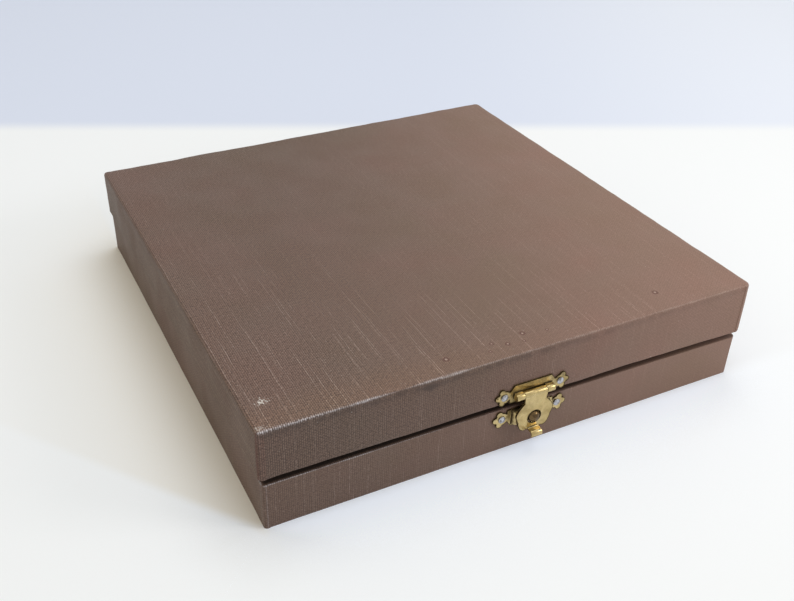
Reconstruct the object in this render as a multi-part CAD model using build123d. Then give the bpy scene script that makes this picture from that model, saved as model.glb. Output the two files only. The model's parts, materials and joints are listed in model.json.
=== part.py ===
from build123d import *
from math import atan, cos, degrees, radians, sin, sqrt
import os

# Collar box: a flat square hinged box of thin wood, covered in book cloth and lined with
# satin, with a stamped brass catch at the front and two small butt hinges at the back.
# Millimetres. X runs to the right as seen from the front, Y to the back and Z up.
# The origin is the centre of the underside.

# Outside of the lid, in its cloth. Its height is measured at its left end.
lid_width = 180.0
lid_depth = 180.0
lid_height = 18.2
# The lid stands past the base at both sides and a little at the front, not at the back.
side_overhang = 1.0
front_overhang = 0.3
edge_radius = 1.3

# The seam: the base's rim at its left end, how far both rims sink towards the right end,
# and the gap between them. The lid rests a little open at the front, on the padding.
base_rim_height = 17.2
rim_droop = 1.6
back_gap = 0.4
front_gap = 2.2

# Wood and cloth
wall_thickness = 4.0
bottom_board_thickness = 3.0
top_board_thickness = 3.0
cloth_thickness = 0.5
rim_turn_in = 8.0
bottom_turn_in = 10.0
sheet_clearance = 0.2

# Lining and padded panels
lining_thickness = 1.0
lining_setback = 1.2
panel_card_thickness = 1.0
panel_clearance = 0.3
panel_corner_radius = 3.0
pad_thickness = 3.2
pad_belly_draw = 0.8
pad_shoulder_draw = 2.5
pad_crown_draw = 14.0
# Heights in the pad, from its card up, where it is fullest and where its shoulder turns.
belly_share = 0.35
shoulder_share = 0.8

# Catch, centred a little to the right of the box's middle
catch_x = 1.9
plate_thickness = 0.6
plate_rim_margin = 0.3
strike_rim_margin = 0.6
plate_rise = 3.6
plate_fall = 3.0
plate_top_half_width = 7.0
plate_half_width = 8.6
plate_shoulder_rise = 1.3
plate_nail_half_spacing = 10.5
ear_radius = 2.4
ear_neck_half_height = 1.6
lobe_radius = 1.15
lobe_reach = 2.2
lobe_angle = 68.0

# Catch barrel: plate knuckle, hasp knuckle, plate knuckle, and the pin through them
barrel_length = 14.2
barrel_radius = 1.3
barrel_below_nails = 0.4
barrel_sink = 0.2
hasp_knuckle_length = 8.3
knuckle_side_clearance = 0.15
window_clearance = 0.35
catch_pin_radius = 0.6
pin_seat_clearance = 0.01
pin_running_clearance = 0.05

# Hasp: a neck down from the knuckle, a round shield, two small lower lobes, a hole and a lip
hasp_thickness = 0.7
shield_radius = 6.4
shield_above_stud = 1.4
hasp_lobe_radius = 2.4
hasp_lobe_half_spacing = 3.9
hasp_lobe_below_stud = 2.2
hasp_hole_radius = 2.5
neck_above_hole = 0.6
hasp_rest_gap = 0.3
lip_width = 4.0
lip_thickness = 0.6
lip_inner_bend = 0.8
lip_flat = 0.9
lip_outer_bend = 1.0
lip_drop = 0.4
lip_root_below_stud = 3.8

# Strike plate boss and stud
stud_below_nails = 0.2
boss_half_width = 7.2
boss_rise = 3.0
boss_fall = 3.2
boss_draw = 0.9
stud_radius = 1.95
stud_height = 2.0
stud_edge = 0.5
stud_shank_radius = 0.9
stud_end_cover = 1.0

# Nails
nail_radius = 0.45
nail_head_radius = 1.25
nail_head_height = 0.6
nail_head_edge = 0.2
nail_point = 0.9
nail_end_cover = 1.2
nail_clearance = 0.02

# Hinges
hinge_from_side = 38.0
hinge_length = 24.0
hinge_leaf_height = 8.5
hinge_leaf_thickness = 0.7
hinge_leaf_corner = 0.8
hinge_barrel_radius = 1.3
hinge_wall_clearance = 0.1
hinge_knuckle_gap = 0.15
hinge_leaf_gap = 0.3
hinge_pin_radius = 0.6
hinge_nail_half_spacing = 7.5
hinge_nail_from_edge = 2.6
hinge_knuckles = 3

# One overrun for every cut and trimming body
overrun = 5.0

# Places that follow from the sizes above
half_width = lid_width / 2
hinge_x = half_width - hinge_from_side
lid_front = -lid_depth / 2
lid_back = lid_depth / 2
base_half_width = half_width - side_overhang
base_front = lid_front + front_overhang
base_back = lid_back
floor_level = cloth_thickness + bottom_board_thickness
lid_rim_height = base_rim_height + back_gap
lid_top = lid_rim_height + lid_height
ceiling_level = lid_top - cloth_thickness - top_board_thickness
rim_run = lid_width + 2 * overrun
rim_bend_radius = (rim_run**2 + rim_droop**2) / (2 * rim_droop)


def rim_drop(x):
    """How far the rims have sunk at x."""
    run = x + half_width + overrun
    return rim_bend_radius - sqrt(rim_bend_radius**2 - run**2)


# Hinge line: midway up the back gap, at the height that the seam has between the hinges
hinge_y = lid_back + hinge_barrel_radius + hinge_wall_clearance
hinge_z = base_rim_height + back_gap / 2 - (rim_drop(-hinge_x) + rim_drop(hinge_x)) / 2

# The lid and all that is on it are drawn with the rims back_gap apart all along, and are
# then turned about the hinge line by this many degrees to where they rest.
ajar = degrees(atan((front_gap - back_gap) / (hinge_y - lid_front)))


def turned(y, z, angle):
    """Where a point goes when it turns about the hinge line; a positive angle opens."""
    along, up = y - hinge_y, z - hinge_z
    turn = radians(angle)
    return (
        hinge_y + along * cos(turn) + up * sin(turn),
        hinge_z - along * sin(turn) + up * cos(turn),
    )


# Places on the front that follow the seam
catch_nails_z = lid_rim_height - rim_drop(catch_x) + plate_rim_margin + plate_fall
strike_nails_z = base_rim_height - rim_drop(catch_x) - strike_rim_margin - plate_fall
stud_z = strike_nails_z - stud_below_nails
barrel_y = lid_front - plate_thickness - barrel_radius + barrel_sink
barrel_z = catch_nails_z - barrel_below_nails
hasp_front = barrel_y - barrel_radius
hasp_back = hasp_front + hasp_thickness
hole_z = turned(hasp_back, stud_z, -ajar)[1]
boss_front = turned(hasp_back, hole_z, ajar)[0] + hasp_rest_gap

parts = {}


def block(left, right, front, back, bottom, top):
    """Solid box between six flat faces."""
    size = Box(right - left, back - front, top - bottom)
    return Pos((left + right) / 2, (front + back) / 2, (bottom + top) / 2) * size


def facing(x, y, z, outward):
    """Plane whose normal points out of the front (-1) or the back (1)."""
    return Plane(origin=(x, y, z), x_dir=(1, 0, 0), z_dir=(0, outward, 0))


def rod(radius, left, right, y, z):
    """Round bar along X."""
    bar = Cylinder(radius, right - left, rotation=(0, 90, 0))
    return Pos((left + right) / 2, y, z) * bar


def above_rim(height):
    """Everything above a rim that is height high at its left end and sinks in an arc."""
    left = -half_width - overrun
    right = half_width + overrun
    rim = TangentArc((left, height), (right, height - rim_droop), tangent=(1, 0))
    top = height + lid_top
    rest = Polyline((right, height - rim_droop), (right, top), (left, top), (left, height))
    face = Plane.XZ.offset(-lid_back - overrun) * make_face(rim + rest)
    return extrude(face, amount=lid_depth + 2 * overrun)


def frame_strips(left, right, front, back, thickness, bottom, top):
    """Four upright strips inside a rectangle. The front and back ones run right across."""
    inner_front = front + thickness
    inner_back = back - thickness
    return {
        "front": block(left, right, front, inner_front, bottom, top),
        "back": block(left, right, inner_back, back, bottom, top),
        "left": block(left, left + thickness, inner_front, inner_back, bottom, top),
        "right": block(right - thickness, right, inner_front, inner_back, bottom, top),
    }


def headed_pin(radius, length, point, head_radius, head_edge, head_height):
    """Round-headed nail or stud along Z: its head stands on the origin, its point is below."""
    side = Polyline(
        (0, -length),
        (radius, point - length),
        (radius, 0),
        (head_radius, 0),
        (head_radius, head_edge),
    )
    dome = TangentArc((0, head_height), (head_radius, head_edge), tangent=(1, 0))
    centre = Line((0, head_height), (0, -length))
    return revolve(Plane.XZ * make_face(side + dome + centre), Axis.Z)


def room(half, front, back, draw, bottom, top):
    """Block on a rectangular plan that is drawn in by draw on all four sides."""
    return block(-half + draw, half - draw, front + draw, back - draw, bottom, top)


def base_room(draw, bottom, top):
    return room(base_half_width, base_front, base_back, draw, bottom, top)


def lid_room(draw, bottom, top):
    return room(half_width, lid_front, lid_back, draw, bottom, top)


def softened(solid, level, radius):
    """Rounds a block's upright edges and its lowest (0) or highest (-1) ones."""
    upright = solid.edges().filter_by(Axis.Z)
    flat = solid.edges().group_by(Axis.Z)[level]
    return fillet(upright + flat, radius)


def base_form(draw):
    """The base's outside, drawn in by draw, up past its rim."""
    return softened(base_room(draw, draw, lid_top), 0, edge_radius - draw)


def lid_form(draw):
    """The lid's outside, drawn in by draw, down past its rim."""
    return softened(lid_room(draw, 0, lid_top - draw), -1, edge_radius - draw)


def nail_length(metal):
    """A nail goes through a plate of this thickness, the cloth and most of the wall."""
    return metal + cloth_thickness + wall_thickness - nail_end_cover


def nails(places, metal):
    nail = headed_pin(
        nail_radius,
        nail_length(metal),
        nail_point,
        nail_head_radius,
        nail_head_edge,
        nail_head_height,
    )
    return Compound([(place * nail).solid() for place in places])


def holes(places, radius, depth):
    """Round holes from outside each place down to a depth."""
    drill = Pos(0, 0, (overrun - depth) / 2) * Cylinder(radius, depth + overrun)
    return [place * drill for place in places]


def nail_holes(places, metal):
    return holes(places, nail_radius + nail_clearance, nail_length(metal) + nail_clearance)


def plate_nail_places(front, z):
    """One nail through each ear of a plate."""
    xs = (catch_x - plate_nail_half_spacing, catch_x + plate_nail_half_spacing)
    return [facing(x, front - plate_thickness, z, -1) for x in xs]


def hinge_nail_places(way):
    """Two nails a leaf, on the lid (1) or the base (-1)."""
    y = lid_back + hinge_leaf_thickness
    z = hinge_z + way * (hinge_leaf_height - hinge_nail_from_edge)
    spread = (-hinge_nail_half_spacing, hinge_nail_half_spacing)
    return [facing(side * hinge_x + x, y, z, 1) for side in (-1, 1) for x in spread]


# Where the nails and the stud go in, and the holes that they need
strike_nails = plate_nail_places(base_front, strike_nails_z)
catch_nails = plate_nail_places(lid_front, catch_nails_z)
base_hinge_nails = hinge_nail_places(-1)
lid_hinge_nails = hinge_nail_places(1)
stud_place = facing(catch_x, boss_front, stud_z, -1)
stud_length = base_front - boss_front + cloth_thickness + wall_thickness - stud_end_cover
stud_hole = holes([stud_place], stud_shank_radius + nail_clearance, stud_length + nail_clearance)
strike_holes = nail_holes(strike_nails, plate_thickness) + stud_hole
catch_holes = nail_holes(catch_nails, plate_thickness)
base_hinge_holes = nail_holes(base_hinge_nails, hinge_leaf_thickness)
lid_hinge_holes = nail_holes(lid_hinge_nails, hinge_leaf_thickness)
base_holes = strike_holes + base_hinge_holes
lid_holes = catch_holes + lid_hinge_holes


def base_wood():
    """Bottom board, and four walls that stand on it, under the cloth."""
    wood = base_form(cloth_thickness) - above_rim(base_rim_height - cloth_thickness)
    parts["base_bottom_board"] = wood & base_room(0, 0, floor_level)
    walls = frame_strips(
        -base_half_width,
        base_half_width,
        base_front,
        base_back,
        cloth_thickness + wall_thickness,
        floor_level,
        lid_top,
    )
    for side, wall in walls.items():
        parts[f"base_{side}_wall"] = (wood & wall) - base_holes


def base_cloth():
    """Cloth round the sides, turned in over the rim and under the bottom board."""
    inner = wall_thickness + cloth_thickness
    hollow = base_room(inner, floor_level, lid_top)
    tray = base_form(cloth_thickness) - above_rim(base_rim_height - cloth_thickness) - hollow
    cloth = base_form(0) - above_rim(base_rim_height) - tray
    cloth -= base_room(inner + cloth_thickness, floor_level, lid_top)
    cloth -= hollow - above_rim(base_rim_height - rim_turn_in)
    cloth -= base_room(bottom_turn_in, -overrun, cloth_thickness)
    parts["base_cloth_wrap"] = cloth - base_holes
    sheet_draw = bottom_turn_in + sheet_clearance
    parts["underside_sheet"] = base_room(sheet_draw, 0, cloth_thickness)


def lid_wood():
    """Top board, and four walls that hang from it, under the cloth."""
    wood = lid_form(cloth_thickness) & above_rim(lid_rim_height + cloth_thickness)
    parts["lid_top_board"] = wood & lid_room(0, ceiling_level, lid_top)
    walls = frame_strips(
        -half_width,
        half_width,
        lid_front,
        lid_back,
        cloth_thickness + wall_thickness,
        0,
        ceiling_level,
    )
    for side, wall in walls.items():
        parts[f"lid_{side}_wall"] = (wood & wall) - lid_holes


def lid_cloth():
    """One sheet of cloth over the top and down the sides, turned in round the rim."""
    inner = wall_thickness + cloth_thickness
    hollow = lid_room(inner, 0, ceiling_level)
    wood = lid_form(cloth_thickness) & above_rim(lid_rim_height + cloth_thickness)
    cloth = lid_form(0) & above_rim(lid_rim_height)
    cloth -= wood - hollow
    cloth -= lid_room(inner + cloth_thickness, 0, ceiling_level)
    cloth -= hollow & above_rim(lid_rim_height + rim_turn_in)
    parts["lid_cloth_cover"] = cloth - lid_holes


def linings():
    """Satin-covered card strips inside the walls, set back from the rims."""
    draw = wall_thickness + 2 * cloth_thickness
    base_strips = frame_strips(
        -base_half_width + draw,
        base_half_width - draw,
        base_front + draw,
        base_back - draw,
        lining_thickness,
        floor_level,
        lid_top,
    )
    lid_strips = frame_strips(
        -half_width + draw,
        half_width - draw,
        lid_front + draw,
        lid_back - draw,
        lining_thickness,
        0,
        ceiling_level,
    )
    over_base = above_rim(base_rim_height - lining_setback)
    over_lid_rim = above_rim(lid_rim_height + lining_setback)
    for side, strip in base_strips.items():
        parts[f"base_{side}_lining"] = strip - over_base
    for side, strip in lid_strips.items():
        parts[f"lid_{side}_lining"] = strip & over_lid_rim


def pad(half, front, back, draw, level, way):
    """Stuffed pad glued to its card at level, standing up (1) or hanging down (-1): drawn in
    at its edge, fullest at its belly, and crowned."""
    outline = (
        (0, pad_belly_draw),
        (belly_share, 0),
        (shoulder_share, pad_shoulder_draw),
        (1, pad_crown_draw),
    )
    sections = []
    for share, more in outline:
        inset = draw + more
        plan = RectangleRounded(
            2 * (half - inset), back - front - 2 * inset, panel_corner_radius + more
        )
        z = level + way * share * pad_thickness
        sections.append(Pos(0, (front + back) / 2, z) * plan)
    return loft(sections if way > 0 else sections[::-1], ruled=True)


def padded_panels():
    """A padded card on the floor and one under the top board."""
    draw = wall_thickness + 2 * cloth_thickness + lining_thickness + panel_clearance
    card_top = floor_level + panel_card_thickness
    card_bottom = ceiling_level - panel_card_thickness
    parts["base_floor_card"] = base_room(draw, floor_level, card_top)
    parts["base_floor_pad"] = pad(base_half_width, base_front, base_back, draw, card_top, 1)
    parts["lid_panel_card"] = lid_room(draw, card_bottom, ceiling_level)
    parts["lid_panel_pad"] = pad(half_width, lid_front, lid_back, draw, card_bottom, -1)


def stamped_outline():
    """Catch or strike plate seen from the front about its nail line: a middle with two upper
    shoulders, and a three-lobed ear round each nail."""
    middle = Polygon(
        (-plate_half_width, -plate_fall),
        (plate_half_width, -plate_fall),
        (plate_half_width, plate_shoulder_rise),
        (plate_top_half_width, plate_rise),
        (-plate_top_half_width, plate_rise),
        (-plate_half_width, plate_shoulder_rise),
        align=None,
    )
    outline = Sketch() + middle
    outline += Rectangle(2 * plate_nail_half_spacing, 2 * ear_neck_half_height)
    for side in (-1, 1):
        nail_x = side * plate_nail_half_spacing
        outline += Pos(nail_x, 0) * Circle(ear_radius)
        for turn in (-lobe_angle, 0, lobe_angle):
            out = lobe_reach * cos(radians(turn))
            up = lobe_reach * sin(radians(turn))
            outline += Pos(nail_x + side * out, up) * Circle(lobe_radius)
    return outline


def barrel_spans():
    """Ends of the left plate knuckle, the hasp knuckle and the right plate knuckle."""
    half = barrel_length / 2
    inner = hasp_knuckle_length / 2
    return (
        (catch_x - half, catch_x - inner - knuckle_side_clearance),
        (catch_x - inner, catch_x + inner),
        (catch_x + inner + knuckle_side_clearance, catch_x + half),
    )


def catch_plate():
    """Plate on the lid, with two knuckles rolled from straps and a window behind the hasp's."""
    place = facing(catch_x, lid_front, catch_nails_z, -1)
    plate = extrude(place * stamped_outline(), amount=plate_thickness)
    left_span, hasp_span, right_span = barrel_spans()
    sunk_half_height = sqrt(barrel_radius**2 - (barrel_radius - barrel_sink) ** 2)
    reach = sunk_half_height + window_clearance
    side = knuckle_side_clearance
    plate -= block(
        hasp_span[0] - side,
        hasp_span[1] + side,
        lid_front - overrun,
        lid_front + overrun,
        barrel_z - reach,
        barrel_z + reach,
    )
    strap_top = barrel_z + barrel_radius
    for left, right in (left_span, right_span):
        plate += block(left, right, barrel_y, lid_front, strap_top - plate_thickness, strap_top)
        plate += rod(barrel_radius, left, right, barrel_y, barrel_z)
    bore = rod(
        catch_pin_radius + pin_seat_clearance,
        left_span[0] - overrun,
        right_span[1] + overrun,
        barrel_y,
        barrel_z,
    )
    parts["catch_plate"] = plate - bore - catch_holes
    parts["catch_pin"] = rod(catch_pin_radius, left_span[0], right_span[1], barrel_y, barrel_z)
    parts["catch_plate_nails"] = nails(catch_nails, plate_thickness)


def finger_lip():
    """Strip that leaves the shield's foot, bends out and turns down at its end."""
    y = (hasp_front + hasp_back) / 2
    shelf = hole_z - lip_root_below_stud - lip_inner_bend
    out = y - lip_inner_bend - lip_flat - lip_outer_bend
    path = FilletPolyline(
        (y, hole_z - hasp_lobe_below_stud),
        (y, shelf),
        (out, shelf),
        (out, shelf - lip_outer_bend - lip_drop),
        radius=(lip_inner_bend, lip_outer_bend),
    )
    strip = trace(path, line_width=lip_thickness)
    return extrude(Plane.YZ.offset(catch_x - lip_width / 2) * strip, amount=lip_width)


def hasp():
    """Rolled knuckle, neck, shield with a hole for the stud, and finger lip."""
    left, right = barrel_spans()[1]
    shield = Pos(0, shield_above_stud) * Circle(shield_radius)
    for side in (-1, 1):
        lobe = Circle(hasp_lobe_radius)
        shield += Pos(side * hasp_lobe_half_spacing, -hasp_lobe_below_stud) * lobe
    shield -= Circle(hasp_hole_radius)
    body = extrude(facing(catch_x, hasp_back, hole_z, -1) * shield, amount=hasp_thickness)
    neck_bottom = hole_z + hasp_hole_radius + neck_above_hole
    body += block(left, right, hasp_front, hasp_back, neck_bottom, barrel_z)
    body += rod(barrel_radius, left, right, barrel_y, barrel_z)
    body += finger_lip()
    bore_radius = catch_pin_radius + pin_running_clearance
    body -= rod(bore_radius, left - overrun, right + overrun, barrel_y, barrel_z)
    parts["hasp"] = body


def boss(shrink):
    """Pressed-out middle of the strike plate, or its hollow when shrunk by the metal."""
    width = 2 * (boss_half_width - shrink)
    height = boss_rise + boss_fall - 2 * shrink
    stand = base_front - boss_front - shrink
    middle = (boss_rise - boss_fall) / 2
    foot = Pos(0, middle, 0) * Rectangle(width, height)
    face = Pos(0, middle, stand) * Rectangle(width - 2 * boss_draw, height - 2 * boss_draw)
    return facing(catch_x, base_front, strike_nails_z, -1) * loft([foot, face])


def strike():
    """Plate on the base with a raised boss, and the stud that holds the hasp."""
    upside_down = facing(catch_x, base_front, strike_nails_z, -1) * Rot(0, 0, 180)
    plate = extrude(upside_down * stamped_outline(), amount=plate_thickness)
    plate += boss(0)
    plate -= boss(plate_thickness)
    parts["strike_plate"] = plate - strike_holes
    stud = headed_pin(stud_shank_radius, stud_length, 0, stud_radius, stud_edge, stud_height)
    parts["strike_stud"] = stud_place * stud
    parts["strike_plate_nails"] = nails(strike_nails, plate_thickness)


def hinge_leaf(x, way, own_knuckles, fit):
    """Leaf on the back of the lid (1) or the base (-1), with the knuckles it owns."""
    end = x - hinge_length / 2
    near = hinge_z + way * (hinge_barrel_radius + hinge_leaf_gap)
    far = hinge_z + way * hinge_leaf_height
    outer = lid_back + hinge_leaf_thickness
    plate = block(end, end + hinge_length, lid_back, outer, min(near, far), max(near, far))
    corners = plate.edges().filter_by(Axis.Y).group_by(Axis.Z)[-1 if way > 0 else 0]
    leaf = fillet(corners, hinge_leaf_corner)
    pitch = hinge_length / hinge_knuckles
    for place in own_knuckles:
        left = end + place * pitch + hinge_knuckle_gap / 2
        right = left + pitch - hinge_knuckle_gap
        low, high = min(near, hinge_z), max(near, hinge_z)
        leaf += block(left, right, lid_back, outer, low, high)
        leaf += rod(hinge_barrel_radius, left, right, hinge_y, hinge_z)
    bore = rod(
        hinge_pin_radius + fit, end - overrun, end + hinge_length + overrun, hinge_y, hinge_z
    )
    return leaf - bore


def hinges():
    """Two butt hinges: the base's leaves have the outer knuckles and hold the pins."""
    for name, x in (("left", -hinge_x), ("right", hinge_x)):
        base_leaf = hinge_leaf(x, -1, range(0, hinge_knuckles, 2), pin_seat_clearance)
        lid_leaf = hinge_leaf(x, 1, range(1, hinge_knuckles, 2), pin_running_clearance)
        parts[f"{name}_hinge_base_leaf"] = base_leaf - base_hinge_holes
        parts[f"{name}_hinge_lid_leaf"] = lid_leaf - lid_hinge_holes
        reach = (hinge_length - hinge_knuckle_gap) / 2
        parts[f"{name}_hinge_pin"] = rod(
            hinge_pin_radius, x - reach, x + reach, hinge_y, hinge_z
        )
    parts["base_hinge_nails"] = nails(base_hinge_nails, hinge_leaf_thickness)
    parts["lid_hinge_nails"] = nails(lid_hinge_nails, hinge_leaf_thickness)


base_wood()
base_cloth()
lid_wood()
lid_cloth()
linings()
padded_panels()
strike()
catch_plate()
hasp()
hinges()

# Leans what belongs to the lid back to where it rests.
opened = Pos(0, hinge_y, hinge_z) * Rot(-ajar, 0, 0) * Pos(0, -hinge_y, -hinge_z)
on_the_lid = ("lid_", "catch_", "hasp", "left_hinge_lid", "right_hinge_lid")
for name, shape in parts.items():
    if name.startswith(on_the_lid):
        parts[name] = opened * shape

os.makedirs("parts", exist_ok=True)
for name, shape in parts.items():
    export_step(shape, f"parts/{name}.step")
    print(name, round(shape.volume), "mm3")

print("lid hinge axis at y, z", hinge_y, hinge_z)
print("hasp hinge axis at y, z", turned(barrel_y, barrel_z, ajar))
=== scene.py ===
import json
import math

import bmesh
import bpy
from mathutils import Matrix, Vector


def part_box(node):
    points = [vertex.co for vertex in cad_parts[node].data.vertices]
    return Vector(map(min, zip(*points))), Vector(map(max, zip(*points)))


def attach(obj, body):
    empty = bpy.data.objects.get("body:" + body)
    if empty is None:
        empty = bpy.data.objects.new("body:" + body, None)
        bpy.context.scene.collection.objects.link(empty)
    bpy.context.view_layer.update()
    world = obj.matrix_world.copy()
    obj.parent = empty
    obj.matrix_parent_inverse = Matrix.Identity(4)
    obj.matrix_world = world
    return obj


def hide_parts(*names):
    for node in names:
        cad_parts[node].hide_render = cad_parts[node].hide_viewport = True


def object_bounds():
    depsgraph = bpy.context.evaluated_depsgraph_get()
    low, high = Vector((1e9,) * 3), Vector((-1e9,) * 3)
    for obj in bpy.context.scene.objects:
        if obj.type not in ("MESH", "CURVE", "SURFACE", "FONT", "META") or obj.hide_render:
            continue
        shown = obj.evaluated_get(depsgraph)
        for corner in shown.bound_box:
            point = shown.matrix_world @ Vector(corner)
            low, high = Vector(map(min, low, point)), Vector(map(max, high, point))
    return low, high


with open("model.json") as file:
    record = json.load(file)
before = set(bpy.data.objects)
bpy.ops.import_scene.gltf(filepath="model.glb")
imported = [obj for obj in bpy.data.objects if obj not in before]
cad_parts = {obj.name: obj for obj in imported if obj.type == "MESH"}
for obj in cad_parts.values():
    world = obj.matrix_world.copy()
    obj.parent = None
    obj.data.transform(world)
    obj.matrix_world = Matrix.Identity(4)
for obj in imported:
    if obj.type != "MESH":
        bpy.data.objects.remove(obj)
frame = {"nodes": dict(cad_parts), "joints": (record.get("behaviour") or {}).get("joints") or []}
cad_low, cad_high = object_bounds()

# Bare boards: the base's tray and the lid's frame are sawn softwood, glued at the corners.
# All of it lies under the cloth and the lining, with the grain along each board.
board_pale = (0.50, 0.34, 0.19, 1)
board_dark = (0.34, 0.20, 0.10, 1)
board_ring = 0.0035
board_grain_stretch = 14
board_rings_seen = (0.35, 0.65)
board_roughness = 0.75
board_relief = 0.00005


def new_finish(name, **surface):
    """A new material and its shader, with the plain values of the surface set on it."""
    finish = bpy.data.materials.new(name)
    finish.use_nodes = True
    shader = finish.node_tree.nodes["Principled BSDF"]
    for socket, value in surface.items():
        shader.inputs[socket.replace("_", " ")].default_value = value
    return finish, shader


def add(finish, kind, inputs=None, **settings):
    """Adds a node: what comes from another node is linked, and any other input is set."""
    node = finish.node_tree.nodes.new("ShaderNode" + kind)
    for setting, value in settings.items():
        setattr(node, setting, value)
    for socket, value in (inputs or {}).items():
        if isinstance(value, bpy.types.NodeSocket):
            finish.node_tree.links.new(value, node.inputs[socket])
        else:
            node.inputs[socket].default_value = value
    return node


def fade(finish, value, start, end, low=0.0, high=1.0):
    """Carries a value smoothly from low at start to high at end."""
    inputs = {"Value": value, "From Min": start, "From Max": end, "To Min": low, "To Max": high}
    node = add(finish, "MapRange", inputs, interpolation_type="SMOOTHSTEP")
    return node.outputs["Result"]


def blend_colours(finish, share, first, second):
    """The first colour at share 0, the second at share 1."""
    inputs = {0: share, 6: first, 7: second}
    return add(finish, "Mix", inputs, data_type="RGBA").outputs[2]


def cloudy(finish, where, size, detail=2.0, roughness=0.5, offset=0.0):
    """Soft noise from 0 to 1 with patches of about that size."""
    inputs = {"Vector": where, "W": offset, "Scale": 1 / size, "Detail": detail}
    inputs["Roughness"] = roughness
    node = add(finish, "TexNoise", inputs, noise_dimensions="4D")
    return node.outputs["Fac"]


def stretched(finish, where, scale):
    """The same place, counted in other steps along each axis."""
    inputs = {0: where, 1: scale}
    return add(finish, "VectorMath", inputs, operation="MULTIPLY").outputs[0]


def relieve(finish, shader, height, depth, strength=1.0):
    """Raises the surface by a height of 0 to 1 times depth."""
    inputs = {"Height": height, "Distance": depth, "Strength": strength}
    bump = add(finish, "Bump", inputs)
    finish.node_tree.links.new(bump.outputs[0], shader.inputs["Normal"])


def paint(finish, shader, socket, value):
    """Lets a pattern drive one socket of the shader."""
    finish.node_tree.links.new(value, shader.inputs[socket])


def board_finish(name, along):
    """Softwood whose grain runs along one axis."""
    finish, shader = new_finish(name, Roughness=board_roughness)
    where = add(finish, "TexCoord").outputs["Object"]
    squeeze = [1 / board_grain_stretch if axis == along else 1.0 for axis in "XYZ"]
    grain = stretched(finish, where, squeeze)
    rings = cloudy(finish, grain, board_ring, detail=4.0, roughness=0.6)
    share = fade(finish, rings, *board_rings_seen)
    paint(finish, shader, "Base Color", blend_colours(finish, share, board_pale, board_dark))
    relieve(finish, shader, rings, board_relief)
    return finish


def give(node, finish):
    """Gives a piece or a CAD node its one finish."""
    piece = frame["nodes"][node] if isinstance(node, str) else node
    piece.data.materials.clear()
    piece.data.materials.append(finish)


board_along_x = board_finish("board_along_x", "X")
board_along_y = board_finish("board_along_y", "Y")
for half in ("base", "lid"):
    for side in ("front", "back"):
        give(f"{half}_{side}_wall", board_along_x)
    for side in ("left", "right"):
        give(f"{half}_{side}_wall", board_along_y)
give("base_bottom_board", board_along_x)
give("lid_top_board", board_along_x)


# Base cloth: one strip of linen-weave book cloth round the four sides, its threads upright.
# It is glued down, turned in over the rim and turned under the bottom board.
base_low, base_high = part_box("base_cloth_wrap")
sheet_thickness = 0.00045
wall_and_cloths = 0.005
rim_rows = (0.0015, 0.0033, wall_and_cloths)
rim_turn_in = 0.008
turn_in_rows = 4
side_rows = 8
bottom_turn_in = 0.010
under_the_paper = 0.0110
paper_hides = 0.00015
rim_droop = 0.0016
rim_overrun = 0.005
rim_edge_radius = 0.0006
rim_edge_segments = 3
corner_segments = 5
fold_segments = 4
base_corner_radii = {-1: 0.0010, 1: 0.0021}
base_foot_radius = 0.0005
base_lap_width = 0.0016
lap_step = 0.00012
lap_height = 0.00016
lap_fade = 0.010
base_sinks_above = 0.002
base_ripples = ((0.030, 0.00022, 0.31), (0.011, 0.00010, 0.57))
mesh_step = 0.00225
sharp_fold = 1.0
level_face = 0.9
upright_face = 0.5
near = 0.00001


def start_piece(name, add_primitive, **sizes):
    """Adds a primitive on its own, with its place in its mesh, and opens it for shaping."""
    bpy.ops.object.select_all(action="DESELECT")
    add_primitive(**sizes)
    piece = bpy.context.object
    piece.name = name
    piece.data.name = name
    bpy.ops.object.transform_apply(location=True, rotation=True, scale=True)
    bpy.ops.object.mode_set(mode="EDIT")
    bpy.ops.mesh.select_all(action="DESELECT")
    return piece


def open_piece(piece):
    """Puts one piece alone on the bench, open for shaping with nothing chosen."""
    bpy.ops.object.select_all(action="DESELECT")
    piece.select_set(True)
    bpy.context.view_layer.objects.active = piece
    bpy.ops.object.mode_set(mode="EDIT")
    bpy.ops.mesh.select_all(action="DESELECT")


def close_piece():
    """Ends the shaping."""
    bpy.ops.object.mode_set(mode="OBJECT")


def face_outwards():
    """Turns every face of the open piece outwards."""
    bpy.ops.mesh.select_all(action="SELECT")
    bpy.ops.mesh.normals_make_consistent(inside=False)


def choose(kind, test):
    """Chooses the points, edges or faces that pass the test."""
    piece = bpy.context.object
    bpy.ops.mesh.select_mode(type=kind)
    mesh = bmesh.from_edit_mesh(piece.data)
    mesh.normal_update()
    items = {"VERT": mesh.verts, "EDGE": mesh.edges, "FACE": mesh.faces}[kind]
    for item in items:
        item.select_set(False)
    for item in items:
        if test(item):
            item.select_set(True)
    mesh.select_flush_mode()
    bmesh.update_edit_mesh(piece.data)


def middle(item):
    """The middle of an edge or a face."""
    return sum((point.co for point in item.verts), Vector()) / len(item.verts)


def next_row(move=(0, 0, 0), spread=(1, 1, 1), centre=(0, 0, 0)):
    """Carries the chosen edge of a sheet on by one row."""
    bpy.ops.mesh.extrude_region_move(TRANSFORM_OT_translate={"value": move})
    if spread != (1, 1, 1):
        bpy.ops.transform.resize(value=spread, center_override=centre)


def finish_with(piece, kind, **settings):
    """Adds one modifier and applies it."""
    bpy.context.view_layer.objects.active = piece
    modifier = piece.modifiers.new(kind.lower(), kind)
    for setting, value in settings.items():
        setattr(modifier, setting, value)
    bpy.ops.object.modifier_apply(modifier=modifier.name)


def round_edges(radius, segments, test):
    """Rounds the edges that pass the test."""
    choose("EDGE", test)
    bpy.ops.mesh.bevel(offset=radius, segments=segments, affect="EDGES", clamp_overlap=False)


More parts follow.
